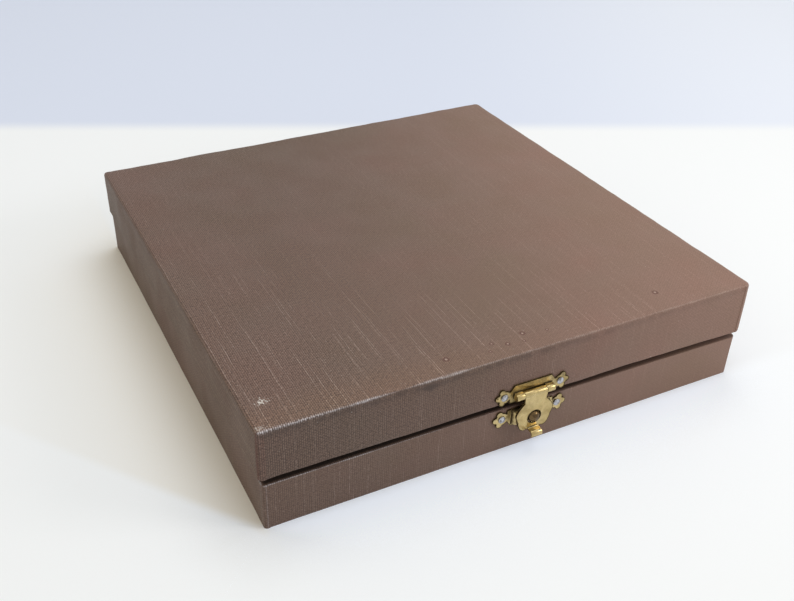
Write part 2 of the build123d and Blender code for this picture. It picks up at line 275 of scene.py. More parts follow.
def fold_at(level, facing):
    """Picks the edges of a sharp fold that lies level, next to faces that face this way."""

    def test(edge):
        at_level = all(abs(point.co.z - level) < near for point in edge.verts)
        if not at_level or len(edge.link_faces) != 2 or edge.calc_face_angle(0) < sharp_fold:
            return False
        return any(face.normal.z * facing > level_face for face in edge.link_faces)

    return test


def rows_down(depth, rows, half_x, half_y, corner_radii, centre):
    """Carries the chosen edge straight along Z, and rounds the upright corners, with one
    radius for the left side (-1) and one for the right side (1)."""
    for row in range(rows):
        next_row((0, 0, depth / rows))

    def upright_corner(edge):
        at = middle(edge)
        far_x = abs(abs(at.x - centre.x) - half_x) < near
        far_y = abs(abs(at.y - centre.y) - half_y) < near
        along = edge.verts[0].co - edge.verts[1].co
        return far_x and far_y and abs(along.z) > near and along.xy.length < near

    for side, radius in corner_radii.items():

        def on_this_side(edge):
            return upright_corner(edge) and middle(edge).x * side > 0

        round_edges(radius, corner_segments, on_this_side)


def inward(distances, half_x, half_y, centre):
    """Carries the open edge level inwards, to each distance from the outside in turn."""
    reached = 0
    for distance in distances:
        spread_x = (half_x - distance) / (half_x - reached)
        spread_y = (half_y - distance) / (half_y - reached)
        next_row(spread=(spread_x, spread_y, 1), centre=centre)
        reached = distance


def over_the_rim(way, half_x, half_y, centre):
    """Carries the cloth's edge in over the rim and on along the inside, up (1) or down (-1)."""
    choose("EDGE", lambda edge: edge.is_boundary)
    inward(rim_rows, half_x, half_y, centre)
    for row in range(turn_in_rows):
        next_row((0, 0, way * rim_turn_in / turn_in_rows))


def part_laps(half_x, lap_width):
    """Cuts the mesh along the step of each lap, at both ends of the front and the back."""
    for side in (-1, 1):
        for line in (half_x - lap_width, half_x - lap_width - lap_step):
            choose("VERT", lambda point: True)
            bpy.ops.mesh.bisect(plane_co=(side * line, 0, 0), plane_no=(1, 0, 0))


def rim_drop(x):
    """How far the rims have sunk at x: they fall in one long arc towards the right."""
    half_width = cad_high.x
    run = 2 * (half_width + rim_overrun)
    bend_radius = (run**2 + rim_droop**2) / (2 * rim_droop)
    at = x + half_width + rim_overrun
    return bend_radius - math.sqrt(bend_radius**2 - at**2)


def sink_rim(piece, fixed_level, rim_level):
    """Lets the rim fall in its arc. What lies at the fixed level stays."""
    for point in piece.data.vertices:
        share = (point.co.z - fixed_level) / (rim_level - fixed_level)
        point.co.z -= min(max(share, 0), 1) * rim_drop(point.co.x)


def lap_corners(piece, lap_width, half_x, half_y, centre):
    """Raises the cloth that laps round each upright corner, with a step on front and back."""
    for point in piece.data.vertices:
        out_x = abs(point.co.x - centre.x)
        out_y = abs(point.co.y - centre.y)
        if out_x < half_x - lap_width - near or out_y < half_y - lap_fade:
            continue
        share = min(1, 1 - (half_y - out_y) / lap_fade)
        away = Vector((point.co.x - centre.x, point.co.y - centre.y, 0)).normalized()
        if out_y > half_y - near:
            away = Vector((0, math.copysign(1, point.co.y - centre.y), 0))
        elif out_x > half_x - near:
            away = Vector((math.copysign(1, point.co.x), 0, 0))
        point.co += away * lap_height * share


def ripple(piece, size, depth, seed_shift, share_at=None):
    """Lifts and sinks a glued cloth a little, as over uneven board and glue. share_at gives
    the share of it at each place, where the whole sheet doesn't have it alike."""
    loose = piece.vertex_groups.new(name="loose")
    for point in piece.data.vertices:
        loose.add([point.index], share_at(point.co) if share_at else 1.0, "REPLACE")
    texture = bpy.data.textures.new(piece.name + "_ripple", "CLOUDS")
    texture.noise_scale = size
    texture.noise_depth = 1
    anchor = bpy.data.objects.new(piece.name + "_ripple", None)
    bpy.context.scene.collection.objects.link(anchor)
    anchor.location = (seed_shift, seed_shift, seed_shift)
    bpy.context.view_layer.update()
    finish_with(
        piece,
        "DISPLACE",
        texture=texture,
        texture_coords="OBJECT",
        texture_coords_object=anchor,
        strength=depth,
        mid_level=0.5,
        vertex_group="loose",
    )
    bpy.data.objects.remove(anchor)
    piece.vertex_groups.clear()


def smooth_over(piece, degrees=40):
    """Smooth shading, apart from edges sharper than this."""
    bpy.ops.object.select_all(action="DESELECT")
    piece.select_set(True)
    bpy.context.view_layer.objects.active = piece
    bpy.ops.object.shade_smooth_by_angle(angle=math.radians(degrees))


def lay_out(piece, unfold):
    """Writes the flat sheet's own coordinates, in metres, into the piece's UV map."""
    layer = piece.data.uv_layers.new(name="sheet")
    for face in piece.data.polygons:
        for loop in face.loop_indices:
            point = piece.data.vertices[piece.data.loops[loop].vertex_index].co
            layer.data[loop].uv = unfold(point, face.normal, face.center)


base_half_x = (base_high.x - base_low.x) / 2
base_half_y = (base_high.y - base_low.y) / 2
base_centre = Vector((0, (base_high.y + base_low.y) / 2, 0))
base_rim = base_high.z
base_meshes = round(2 * base_half_x / mesh_step)

base_cloth = start_piece(
    "base_cloth",
    bpy.ops.mesh.primitive_grid_add,
    x_subdivisions=base_meshes,
    y_subdivisions=base_meshes,
    size=1,
)
choose("VERT", lambda point: True)
bpy.ops.transform.resize(value=(2 * base_half_x, 2 * base_half_y, 1))
bpy.ops.transform.translate(value=base_centre)
choose("EDGE", lambda edge: edge.is_boundary)
rows_down(base_rim, side_rows, base_half_x, base_half_y, base_corner_radii, base_centre)
over_the_rim(-1, base_half_x, base_half_y, base_centre)
round_edges(base_foot_radius, fold_segments, fold_at(0, -1))
round_edges(rim_edge_radius, rim_edge_segments, fold_at(base_rim, 1))
for side in (-1, 1):
    for cut, way in ((base_half_x, Vector((side, 0, 0))), (base_half_y, Vector((0, side, 0)))):
        choose("VERT", lambda point: point.co.z < near)
        edge_of_cloth = base_centre + way * (cut - under_the_paper)
        bpy.ops.mesh.bisect(plane_co=edge_of_cloth, plane_no=way)


def in_from_the_sides(place):
    """How far a place lies in from the nearest side of the base."""
    in_x = base_half_x - abs(place.x)
    in_y = base_half_y - abs(place.y - base_centre.y)
    return min(in_x, in_y)


def under_the_board(face):
    """True where the strip doesn't reach, inside its turned-under edge."""
    return middle(face).z < near and in_from_the_sides(middle(face)) > under_the_paper


choose("FACE", under_the_board)
bpy.ops.mesh.delete(type="FACE")
part_laps(base_half_x, base_lap_width)
face_outwards()
close_piece()
lap_corners(base_cloth, base_lap_width, base_half_x, base_half_y, base_centre)
for size, depth, shift in base_ripples:
    ripple(base_cloth, size, depth, shift)
for point in base_cloth.data.vertices:
    lowest = paper_hides if in_from_the_sides(point.co) > bottom_turn_in else 0
    point.co.z = max(point.co.z, lowest)
sink_rim(base_cloth, base_sinks_above, base_rim)
finish_with(base_cloth, "SOLIDIFY", thickness=sheet_thickness, offset=-1)
smooth_over(base_cloth)


def round_the_box(point, normal, middle_of_face):
    """The strip goes round the box: its threads stand upright on all four sides."""
    beside_x = abs(middle_of_face.x) / base_half_x
    beside_y = abs(middle_of_face.y - base_centre.y) / base_half_y
    along = point.x if beside_y > beside_x else point.y
    if abs(normal.z) < upright_face:
        return along, point.z
    out_x = base_half_x - abs(point.x)
    out_y = base_half_y - abs(point.y - base_centre.y)
    out = out_y if beside_y > beside_x else out_x
    return along, -out if normal.z < 0 else base_rim + out


lay_out(base_cloth, round_the_box)

# The cloth's finish: brown threads, lighter and darker one by one, with slubs along them,
# under a thin glaze, in patches of tone. It is pale on folds and corners, part wear and
# part painted highlight, and painted lighter towards the right front, where the light falls
# stronger.
warp_pitch = 0.00064
weft_pitch = 0.00050
thread_dash = 0.0009
thread_stray = 1.5
stray_size = 0.012
line_spacing = 0.0025
line_width = 0.00040
line_length = 0.024
line_unevenness = 0.9
fleck_squeeze = 1.4
cloth_dark = (0.056, 0.035, 0.028, 1)
cloth_light = (0.222, 0.148, 0.115, 1)
cloth_line = (0.49, 0.39, 0.34, 1)
# The folds' pale, part wear and part painted highlight: bluish white, and tan to the right.
cloth_worn_and_lit = (0.72, 0.71, 0.76, 1)
cloth_worn_and_lit_tan = (0.55, 0.46, 0.40, 1)
mauve_tint = (1.07, 0.99, 1.01, 1)
olive_tint = (0.95, 0.985, 0.93, 1)
painted_light_tint = (1.82, 1.71, 1.66, 1)
# Painted shade inside the seam:
seam_shade_black = (0.018, 0.013, 0.011, 1)
weave_depth = 0.00012
weave_strength = 0.8
weave_shades = {"warp": 0.80, "weft": 0.30, "crossing": 0.11, "crest": 0.26}
weave_heights = {"crossing": 0.25, "crest": 0.35, "warp": 0.9, "weft": 0.4, "line": 0.4}
shades_seen = (0.36, 1.10)
middle_shade = 0.47
patch_size = 0.045
break_size = 0.008
gloss_size = 0.02
cloth_gloss = 0.22
cloth_roughness = (0.48, 0.62)
# How dark the seam's painted shade is, and where past the rim it starts and is full.
seam_shade_strength = 0.86
seam_shade_from = 0.0002
seam_shade_to = 0.0012
# Painted light: the cloth is painted lighter along this way, towards the right front, where the
# light falls stronger.
toward_light_way = (1, -0.35, 0)
lighter_from = -0.055
lighter_to = 0.130
corner_way = (1, 1, 0)
lines_on_top = 0.54
lines_on_sides = 0.26

# How the cloth's patterns fade: from where to where, and from how much to how much.
line_stretches = (0.42, 0.62)
line_on_pale_threads = (0.38, 0.60, 0.15, 1.0)
line_off_corner = (-0.17, 0.0, 1.0, 0.18)
fleck_threads = (0.62, 0.76)
fleck_off_corner = (-0.17, -0.05, 0.85, 0.12)
# Where the folds' pale lies, part wear and part painted highlight:
worn_and_lit_breaks = (0.30, 0.55, 0.15, 1.0)
worn_and_lit_on_pale_threads = (0.34, 0.58, 0.3, 1.0)
worn_and_lit_on_crests = (0.2, 0.8, 0.3, 1.0)
worn_and_lit_toward_light = (-0.03, 0.06, 1.0, 0.55)
worn_and_lit_to_tan = (-0.04, 0.07)
weave_toward_light = (-0.07, 0.08)
weave_left = 0.3
mauve_patches = (0.45, 0.75)
olive_patches = (0.52, 0.25)
seam_in_light = (0.02, 0.11, 1.0, 0.45)
gloss_patches = (0.3, 0.7)


def reckon(finish, operation, *values):
    """One sum of the Math node."""
    inputs = dict(enumerate(values))
    return add(finish, "Math", inputs, operation=operation).outputs[0]


def product(finish, *values):
    """All the values multiplied together."""
    result = values[0]
    for value in values[1:]:
        result = reckon(finish, "MULTIPLY", result, value)
    return result


def tinted(finish, share, colour, tint):
    """Dyes a colour with a tint, and keeps its lights and darks."""
    inputs = {0: share, 6: colour, 7: tint}
    node = add(finish, "Mix", inputs, data_type="RGBA", blend_type="MULTIPLY")
    return node.outputs[2]


def beside_line(finish, coordinate, line, width, strength=1.0):
    """Strength on a line, fading to nothing at width on both sides of it."""
    offset = reckon(finish, "ABSOLUTE", reckon(finish, "SUBTRACT", coordinate, line))
    return fade(finish, offset, width, 0.0, 0.0, strength)


def mixture(finish, start, parts, weights):
    """A start plus each part times its weight."""
    for part, weight in weights.items():
        start = reckon(finish, "MULTIPLY_ADD", parts[part], weight, start)
    return start


def reach_along(finish, place, way):
    """How far a place lies along a direction."""
    return add(finish, "VectorMath", {0: place, 1: way}, operation="DOT_PRODUCT").outputs[1]


def weave(finish, sheet, u, v):
    """The parts of the weave: each thread's own shade, the warp's crests and the crossings.
    It also gives u as the warp counts it, since the threads stray a little."""
    stray = cloudy(finish, sheet, stray_size)
    strayed_u = reckon(finish, "MULTIPLY_ADD", stray, warp_pitch * thread_stray, u)
    strayed_v = reckon(finish, "MULTIPLY_ADD", stray, weft_pitch * thread_stray, v)
    warp = reckon(finish, "SINE", product(finish, strayed_u, math.pi / warp_pitch))
    weft = reckon(finish, "SINE", product(finish, strayed_v, math.pi / weft_pitch))
    along_warp = stretched(finish, sheet, (1 / warp_pitch, 1 / thread_dash, 1))
    along_weft = stretched(finish, sheet, (1 / thread_dash, 1 / weft_pitch, 1))
    threads = {
        "warp": cloudy(finish, along_warp, 1.0, roughness=0.6, offset=1.0),
        "weft": cloudy(finish, along_weft, 1.0, roughness=0.6, offset=5.0),
        "crossing": product(finish, warp, weft),
        "crest": reckon(finish, "ABSOLUTE", warp),
    }
    return threads, strayed_u


def pale_lines(finish, sheet, place, strayed_u, warp):
    """Pale threads, shown in stretches, and flecks. Both fade away from the near corner."""
    off_corner = reach_along(finish, place, corner_way)
    beat = reckon(finish, "DIVIDE", strayed_u, line_spacing)
    inputs = {"W": beat, "Scale": 1.0, "Randomness": line_unevenness}
    off_line = add(finish, "TexVoronoi", inputs, voronoi_dimensions="1D").outputs["Distance"]
    lengths = stretched(finish, sheet, (1 / line_spacing, 1 / line_length, 1))
    lengths = cloudy(finish, lengths, 1.0, roughness=0.6, offset=9.0)
    lines = product(
        finish,
        fade(finish, off_line, line_width / line_spacing / 2, 0.0),
        fade(finish, lengths, *line_stretches),
        fade(finish, warp, *line_on_pale_threads),
        fade(finish, off_corner, *line_off_corner),
    )
    flecks = stretched(finish, sheet, (1 / warp_pitch, fleck_squeeze / thread_dash, 1))
    flecks = cloudy(finish, flecks, 1.0, detail=1.0, offset=15.0)
    flecks = product(
        finish,
        fade(finish, flecks, *fleck_threads),
        fade(finish, off_corner, *fleck_off_corner),
    )
    return reckon(finish, "MAXIMUM", lines, flecks)


def worn_and_lit_folds(finish, folds, sheet, u, v, threads, toward_light):
    """How pale the folds are, part wear and part painted highlight: in breaks, on the
    threads' crests, and less towards the right front.
    """
    worn_and_lit = 0.0
    for axis, fold, width, strength, span in folds:
        across, along = (u, v) if axis == "u" else (v, u)
        worn = product(
            finish,
            beside_line(finish, across, fold, width, strength),
            reckon(finish, "GREATER_THAN", along, span[0]),
            reckon(finish, "LESS_THAN", along, span[1]),
        )
        worn_and_lit = reckon(finish, "MAXIMUM", worn, worn_and_lit)
    breaks = cloudy(finish, sheet, break_size, 3.0, 0.7, offset=7.0)
    return product(
        finish,
        worn_and_lit,
        fade(finish, breaks, *worn_and_lit_breaks),
        fade(finish, threads["warp"], *worn_and_lit_on_pale_threads),
        fade(finish, threads["crest"], *worn_and_lit_on_crests),
        fade(finish, toward_light, *worn_and_lit_toward_light),
    )


def cloth_finish(name, folds, crispness, lines_shown, mark=None, depth=None):
    """Book cloth, painted lighter towards the right front where the light falls stronger. It
    is pale along the folds, part wear and part painted highlight, each (axis of the sheet,
    place, width, strength, span along the other axis). crispness tells how much of the weave
    still shows, lines_shown how strongly pale threads show, mark adds what only one sheet
    has, and depth is a line past which the sheet is painted near black, as painted shade in
    the seam, less where the light is stronger."""
    finish, shader = new_finish(name)
    shader.inputs["Specular IOR Level"].default_value = cloth_gloss
    sheet = add(finish, "UVMap", uv_map="sheet").outputs[0]
    place = add(finish, "TexCoord").outputs["Object"]
    u, v = add(finish, "SeparateXYZ", {0: sheet}).outputs[:2]
    threads, strayed_u = weave(finish, sheet, u, v)
    line = pale_lines(finish, sheet, place, strayed_u, threads["warp"])
    line = product(finish, line, lines_shown(finish, v))

    shade = fade(finish, mixture(finish, 0.0, threads, weave_shades), *shades_seen)
    toward_light = reach_along(finish, place, toward_light_way)
    sharpness = fade(finish, toward_light, *weave_toward_light, crispness, crispness * weave_left)
    shade = reckon(finish, "SUBTRACT", shade, middle_shade)
    shade = reckon(finish, "MULTIPLY_ADD", shade, sharpness, middle_shade)
    colour = blend_colours(finish, shade, cloth_dark, cloth_light)
    patches = cloudy(finish, place, patch_size, 3.0, 0.55, offset=2.0)
    colour = tinted(finish, fade(finish, patches, *mauve_patches), colour, mauve_tint)
    colour = tinted(finish, fade(finish, patches, *olive_patches), colour, olive_tint)
    colour = blend_colours(finish, line, colour, cloth_line)
    # Painted light: lighter towards the right front, where the light falls stronger.
    colour = tinted(finish, fade(finish, toward_light, lighter_from, lighter_to), colour, painted_light_tint)
    if mark:
        colour = mark(finish, colour, sheet, u, v, shade)

    # Pale folds, part wear and part painted highlight, bluish white at the left and tan towards
    # the right front.
    worn_and_lit = worn_and_lit_folds(finish, folds, sheet, u, v, threads, toward_light)
    pale = fade(finish, toward_light, *worn_and_lit_to_tan)
    pale = blend_colours(finish, pale, cloth_worn_and_lit, cloth_worn_and_lit_tan)
    colour = blend_colours(finish, worn_and_lit, colour, pale)
    # Painted shade: past the depth line the cloth is painted near black, as the shade inside the
    # seam, less where the light is stronger.
    if depth:
        seam_shade = fade(finish, v, *depth, 0.0, seam_shade_strength)
        seam_shade = product(finish, seam_shade, fade(finish, toward_light, *seam_in_light))
        colour = blend_colours(finish, seam_shade, colour, seam_shade_black)
    paint(finish, shader, "Base Color", colour)

    threads["line"] = line
    height = mixture(finish, 0.5, threads, weave_heights)
    relieve(finish, shader, height, weave_depth, product(finish, sharpness, weave_strength))
    gloss = cloudy(finish, place, gloss_size, offset=3.0)
    paint(finish, shader, "Roughness", fade(finish, gloss, *gloss_patches, *cloth_roughness))
    return finish


def faint_all_over(finish, v):
    """The base's cloth shows its pale threads alike on all sides."""
    return lines_on_sides


all_round = (-base_half_x, base_half_x)
upright = (0, base_rim)
base_cloth_finish = cloth_finish(
    "base_book_cloth",
    [
        ("v", base_rim, 0.0004, 0.65, all_round),
        ("v", 0.0, 0.0004, 0.3, all_round),
        ("u", -base_half_x + 0.0010, 0.0004, 0.15, upright),
        ("u", base_half_x, 0.0005, 0.35, upright),
    ],
    crispness=0.65,
    lines_shown=faint_all_over,
    # Past the rim the cloth is painted near black, as painted shade in the seam.
    depth=(base_rim + seam_shade_from, base_rim + seam_shade_to),
)
give(base_cloth, base_cloth_finish)
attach(base_cloth, "base")
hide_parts("base_cloth_wrap")


# Lid cloth: one sheet of the same cloth over the top, its edges turned down the four sides
# and in round the rim. The lid rests a little open at the front, on its padding.
hinge_line = Vector(frame["joints"][0]["pos_m"])
seam_gap_at_hinges = 0.0004
seam_gap_at_front = 0.0022
lid_front = -0.090
lid_back = 0.090
lid_height = 0.0182
lid_corner_radii = {-1: 0.0013, 1: 0.0022}
lid_edge_radius = 0.0010
lid_lap_width = 0.0024
lid_sinks_below = 0.003
lid_ripples = ((0.030, 0.00030, 0.13), (0.009, 0.00036, 0.77))
fold_ripple = (0.012, 0.00105, 0.45)
loose_fold = 0.0045
lying_face = 0.7
ajar = math.atan((seam_gap_at_front - seam_gap_at_hinges) / (hinge_line.y - lid_front))
to_hinge = Matrix.Translation(hinge_line)
lid_at_rest = to_hinge @ Matrix.Rotation(-ajar, 4, "X") @ to_hinge.inverted()

lid_rim = base_rim + seam_gap_at_hinges
lid_top = lid_rim + lid_height
lid_half_x = cad_high.x
lid_half_y = (lid_back - lid_front) / 2
lid_centre = Vector((0, 0, 0))
lid_meshes = round(2 * lid_half_x / mesh_step)

lid_cloth = start_piece(
    "lid_cloth",
    bpy.ops.mesh.primitive_grid_add,
    x_subdivisions=lid_meshes,
    y_subdivisions=lid_meshes,
    size=2 * lid_half_x,
    location=(0, 0, lid_top),
)
choose("EDGE", lambda edge: edge.is_boundary)
rows_down(-lid_height, side_rows, lid_half_x, lid_half_y, lid_corner_radii, lid_centre)
over_the_rim(1, lid_half_x, lid_half_y, lid_centre)
round_edges(lid_edge_radius, fold_segments, fold_at(lid_top, 1))
round_edges(rim_edge_radius, rim_edge_segments, fold_at(lid_rim, -1))
part_laps(lid_half_x, lid_lap_width)
face_outwards()
close_piece()
lap_corners(lid_cloth, lid_lap_width, lid_half_x, lid_half_y, lid_centre)
for size, depth, shift in lid_ripples:
    ripple(lid_cloth, size, depth, shift)


def at_the_front_fold(place):
    """1 at the lid's front fold, where the cloth isn't glued tight, and 0 a little off it."""
    off_fold = math.hypot(place.y - lid_front, place.z - lid_top)
    return max(0.0, 1 - off_fold / loose_fold)


ripple(lid_cloth, *fold_ripple, at_the_front_fold)
sink_rim(lid_cloth, lid_top - lid_sinks_below, lid_rim)
finish_with(lid_cloth, "SOLIDIFY", thickness=sheet_thickness, offset=-1)
smooth_over(lid_cloth)


def over_the_lid(point, normal, middle_of_face):
    """The sheet lies flat on top and hangs down each side."""
    if normal.z > lying_face:
        return point.x, point.y
    down = lid_top - point.z
    if abs(normal.z) > lying_face:
        down = lid_height
    if abs(middle_of_face.y) / lid_half_y > abs(middle_of_face.x) / lid_half_x:
        return point.x, math.copysign(lid_half_y + down, middle_of_face.y)
    return math.copysign(lid_half_x + down, middle_of_face.x), point.y


lay_out(lid_cloth, over_the_lid)
lid_cloth.data.transform(lid_at_rest)

# Marks that the lid's sheet alone has: a golden rubbed band and grime along the front fold,
# a pale line on the fold by the near corner, part wear and part painted highlight, painted
# shade on the left of the front, on the left side and in the crease at its front, a scuff
# by the near corner, a bruise on the front, and small blisters in the glaze, each painted
# with a ring of shade and a highlight on its crown.
lid_golden_tint = (1.14, 1.08, 0.99, 1)
lid_lap_tint = (1.05, 0.98, 0.98, 1)
# Painted shade on the left of the lid's front, and on its left side.
lid_front_shade_tint = (0.86, 0.88, 0.89, 1)
lid_left_side_shade_tint = (0.88, 0.87, 0.80, 1)
lid_grime = (0.060, 0.042, 0.036, 1)
lid_worn = (0.66, 0.62, 0.58, 1)
# Painted shade for the blisters' rings and the crease, and a painted highlight for the blisters'
# crowns.
painted_shade_brown = (0.105, 0.045, 0.036, 1)
blister_highlight = (0.54, 0.41, 0.35, 1)
blister_radius = 0.0010
blisters = (
    ((-0.0262, -0.0829), 1.0),
    ((-0.0118, -0.0851), 0.6),
    ((-0.0093, -0.0817), 0.7),
    ((-0.0047, -0.0838), 0.8),
    ((0.0009, -0.0846), 0.6),
    ((0.0026, -0.0809), 0.9),
    ((0.0107, -0.0827), 0.6),
    ((0.0563, -0.0801), 1.0),
)
lid_scuffs = (
    ((-0.0836, -0.0777), 0.0040, 0.85),
    ((-0.0882, -0.0885), 0.0034, 0.45),
)
bruise_place = (-0.0355, -0.0925)
bruise_squeeze = (0.45, 1.0)
bruise_edge = (0.0021, 0.0004)
scuff_squeeze = (0.8, 1.2)
scuff_threads = (0.66, 0.76)
rough_size = 0.004
rough_edge = 0.004
fibre_size = 0.0008

# Where the other marks fade out, in metres along the sheet, and how its threads break them.
golden_band = (0.016, 0.003)
golden_span = (0.045, -0.075)
golden_threads = (0.2, 0.7, 0.4, 1.0)
lid_front_shade_span = (0.06, -0.04)
crease_shade_line = (0.0006, 0.0007, 0.75)
corner_width = 0.0014
corner_span = (-0.055, -0.078, 0.0, 0.55)
corner_breaks = (0.35, 0.52, 0.3, 1.0)
corner_threads = (0.40, 0.58)
grime_line = (0.0016, 0.0022, 0.85)
grime_breaks = (0.36, 0.58, 0.15, 1.0)
grime_span = (0.07, -0.04, 0.15, 0.6)


def away_from(finish, sheet, place, squeeze=(1, 1)):
    """How far a point of the sheet lies from a place, with steps of its own along each axis."""
    where = stretched(finish, sheet, (squeeze[0], squeeze[1], 0))
    target = (place[0] * squeeze[0], place[1] * squeeze[1], 0)
    return add(finish, "VectorMath", {0: where, 1: target}, operation="DISTANCE").outputs[1]


def lid_marks(finish, colour, sheet, u, v, shade):
    """Puts the marks on one by one, from the broad ones to the small."""
    front = -lid_half_y
    left = -lid_half_x
    rough = cloudy(finish, sheet, rough_size, 3.0, 0.65, offset=11.0)
    fibres = cloudy(finish, sheet, fibre_size, 3.0, 0.7, offset=13.0)
    over_the_left = reckon(finish, "GREATER_THAN", u, left)
    beside = reckon(finish, "LESS_THAN", u, left)
    hanging = reckon(finish, "LESS_THAN", v, front)

    golden = product(
        finish,
        fade(finish, v, front + golden_band[0], front + golden_band[1]),
        reckon(finish, "GREATER_THAN", v, front),
        over_the_left,
        fade(finish, u, *golden_span),
        fade(finish, shade, *golden_threads),
    )
    colour = tinted(finish, golden, colour, lid_golden_tint)
    # Painted shade: the left of the lid's front is painted darker.
    lid_front_shade = product(finish, hanging, fade(finish, u, *lid_front_shade_span))
    colour = tinted(finish, lid_front_shade, colour, lid_front_shade_tint)
    lap = product(finish, reckon(finish, "LESS_THAN", u, left + lid_lap_width), hanging)
    colour = tinted(finish, lap, colour, lid_lap_tint)
    # Painted shade: the lid's left side is painted darker.
    colour = tinted(finish, beside, colour, lid_left_side_shade_tint)
    # Painted shade: a dark line in the crease at the front of the lid's left side.
    above, width, strength = crease_shade_line
    crease_shade = product(finish, beside_line(finish, v, front + above, width, strength), beside)
    colour = blend_colours(finish, crease_shade, colour, painted_shade_brown)

    # A pale line on the front fold by the near corner: part wear, part painted highlight.
    corner = product(
        finish,
        beside_line(finish, v, front, corner_width),
        fade(finish, u, *corner_span),
        fade(finish, rough, *corner_breaks),
        over_the_left,
        fade(finish, shade, *corner_threads),
    )
    colour = blend_colours(finish, corner, colour, cloth_worn_and_lit)
    below, width, strength = grime_line
    grime = product(
        finish,
        beside_line(finish, v, front - below, width, strength),
        fade(finish, rough, *grime_breaks),
        fade(finish, u, *grime_span),
    )
    colour = blend_colours(finish, grime, colour, lid_grime)

    ragged = reckon(finish, "MULTIPLY_ADD", rough, rough_edge, -rough_edge / 2)
    bruise = away_from(finish, sheet, bruise_place, bruise_squeeze)
    bruise = fade(finish, reckon(finish, "ADD", bruise, ragged), *bruise_edge, 0.0, 0.65)
    colour = blend_colours(finish, bruise, colour, lid_grime)

    for place, reach, strength in lid_scuffs:
        scuff = fade(finish, away_from(finish, sheet, place, scuff_squeeze), reach, 0.0)
        bare = reckon(finish, "MULTIPLY_ADD", scuff, 0.22, fibres)
        bare = fade(finish, bare, *scuff_threads, 0.0, strength)
        colour = blend_colours(finish, bare, colour, lid_worn)

    # The blisters are painted: a ring of painted shade round each, and a painted highlight on its
    # crown.
    nearest = 1.0
    for place, size in blisters:
        off_blister = away_from(finish, sheet, place, (1 / size, 1 / size))
        nearest = reckon(finish, "MINIMUM", off_blister, nearest)
    wobble = reckon(finish, "MULTIPLY_ADD", fibres, blister_radius, -blister_radius / 2)
    nearest = reckon(finish, "ADD", nearest, wobble)
    blister_shade_ring = beside_line(finish, nearest, blister_radius * 0.8, blister_radius * 0.5, 0.85)
    blister_highlight_crown = fade(finish, nearest, blister_radius * 0.6, 0.0, 0.0, 0.7)
    colour = blend_colours(finish, blister_shade_ring, colour, painted_shade_brown)
    return blend_colours(finish, blister_highlight_crown, colour, blister_highlight)


def faint_below_the_top(finish, v):
    """The lid's cloth shows its pale threads best on top, and less past the front fold."""
    over_the_fold = (-lid_half_y - 0.0005, -lid_half_y + 0.0005)
    return fade(finish, v, *over_the_fold, lines_on_sides, lines_on_top)


left_to_right = (-lid_half_x, lid_half_x)
front_to_back = (-lid_half_y, lid_half_y)
lid_cloth_finish = cloth_finish(
    "lid_book_cloth",
    [
        ("v", -lid_half_y, 0.0008, 0.8, left_to_right),
        ("v", lid_half_y, 0.0006, 0.5, left_to_right),
        ("u", -lid_half_x, 0.0005, 0.12, front_to_back),
        ("u", lid_half_x, 0.0006, 0.3, front_to_back),
    ],
    crispness=1.0,
    lines_shown=faint_below_the_top,
    mark=lid_marks,
)
give(lid_cloth, lid_cloth_finish)
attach(lid_cloth, "lid")
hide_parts("lid_cloth_cover")


# Nails: small domed steel nails, driven through the ears of the catch and through the hinge
# leaves. They are greyed and a little rusty, and keep the shape that the frame gives them.
steel_bright = (0.52, 0.53, 0.57, 1)
steel_dull = (0.20, 0.18, 0.17, 1)
steel_spot = 0.0009
steel_shine = 0.28
dull_roughening = 0.25
spots_per_relief = 60
dull_spots = (0.42, 0.68)
rough_spots = (0.35, 0.65)


def metal_finish(name, bright, dull, spot_size, shine):
    """Aged bare metal: bright where it is handled, dull in spots and where it has lain."""
    finish, shader = new_finish(name, Metallic=1.0)
    place = add(finish, "TexCoord").outputs["Object"]
    spots = cloudy(finish, place, spot_size, 4.0, 0.65)
    dullness = fade(finish, spots, *dull_spots)
    roughness = fade(finish, spots, *rough_spots, shine, shine + dull_roughening)
    paint(finish, shader, "Base Color", blend_colours(finish, dullness, bright, dull))
    paint(finish, shader, "Roughness", roughness)
    relieve(finish, shader, spots, spot_size / spots_per_relief)
    return finish


nail_steel = metal_finish("nail_steel", steel_bright, steel_dull, steel_spot, steel_shine)
for nails in ("strike_plate", "catch_plate", "base_hinge", "lid_hinge"):
    give(f"{nails}_nails", nail_steel)


# Hinges: two small butt hinges of aged brass on the back, each two leaves round a pin. Here
# the leaves get the worn edges of stamped sheet.
hinge_bright = (0.46, 0.34, 0.14, 1)
hinge_dull = (0.20, 0.14, 0.06, 1)
hinge_spot = 0.004
hinge_shine = 0.32
hinge_edge = 0.00012
loose_points = 0.000002
flat_enough = math.radians(1)


def from_frame(node, name):
    """A new piece that starts as a copy of a CAD node, with its loose points merged."""
    bpy.ops.object.select_all(action="DESELECT")
    piece = frame["nodes"][node].copy()
    piece.data = piece.data.copy()
    piece.name = name
    piece.data.name = name
    piece.hide_set(False)
    bpy.context.scene.collection.objects.link(piece)
    open_piece(piece)
    choose("VERT", lambda point: True)
    bpy.ops.mesh.remove_doubles(threshold=loose_points)
    bpy.ops.mesh.normals_make_consistent(inside=False)
    bpy.ops.mesh.dissolve_limited(angle_limit=flat_enough, delimit={"NORMAL"})
    bpy.ops.mesh.select_all(action="DESELECT")
    return piece


def soften_edges(piece, radius, degrees=35, segments=2):
    """Wears every edge that is sharper than this."""
    finish_with(
        piece,
        "BEVEL",
        width=radius,
        segments=segments,
        limit_method="ANGLE",
        angle_limit=math.radians(degrees),
        use_clamp_overlap=True,
        harden_normals=False,
    )
    smooth_over(piece, degrees)


